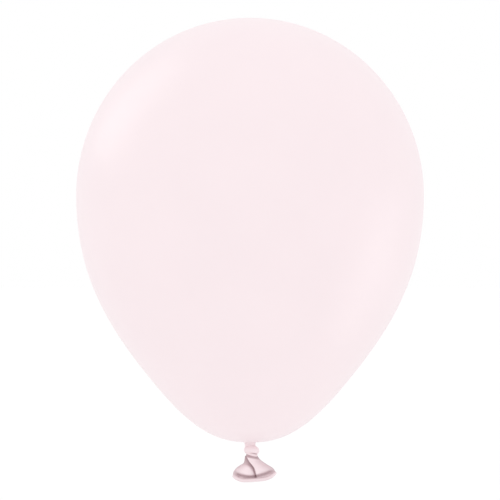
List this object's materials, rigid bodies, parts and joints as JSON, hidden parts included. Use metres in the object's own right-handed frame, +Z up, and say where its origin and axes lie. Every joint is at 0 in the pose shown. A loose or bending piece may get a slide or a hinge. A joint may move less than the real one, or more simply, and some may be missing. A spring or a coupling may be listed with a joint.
{
  "type": "latex balloon",
  "caption": "Inflated round latex party balloon, tied off in a knot under its body, with a flared tail and a rolled rim at the tail's open mouth.",
  "frame": {"origin": "middle of the neck opening in the underside of the inflated body, where the neck is tied and about which it twists and leans", "axes": "+Z up through the crown of the upright balloon; +X along the wide way of the tail's flattened mouth; +Y to the back"},
  "size_m": [0.305, 0.305, 0.407],
  "materials": {
    "stretched_latex": "thin stretched latex, pale pink, satin",
    "gathered_latex": "gathered and knotted latex, pink, satin with fine creases",
    "relaxed_latex": "unstretched latex, deeper pink, glossy with soft folds"
  },
  "bodies": {
    "envelope": {"envelope": "stretched_latex"},
    "neck": {"neck": "gathered_latex"},
    "knot": {"knot_strand": "gathered_latex", "knot_wrap": "gathered_latex"},
    "tail": {"tail": "relaxed_latex", "rolled_rim": "relaxed_latex"}
  },
  "joints": [
    {"name": "neck_twist", "type": "hinge", "parent": "envelope", "child": "neck", "pos_m": [0, 0, 0], "axis": [0, 0, 1], "range_deg": [-90, 90], "stiffness_Nm_per_rad": 0.0005},
    {"name": "neck_sway", "type": "hinge", "parent": "neck", "child": "knot", "pos_m": [0, 0, 0], "axis": [0, 1, 0], "range_deg": [-30, 30], "stiffness_Nm_per_rad": 0.002},
    {"name": "tail_flop", "type": "hinge", "parent": "knot", "child": "tail", "pos_m": [0.0015, 0, -0.01382], "axis": [1, 0, 0], "range_deg": [-60, 60], "stiffness_Nm_per_rad": 0.001}
  ]
}
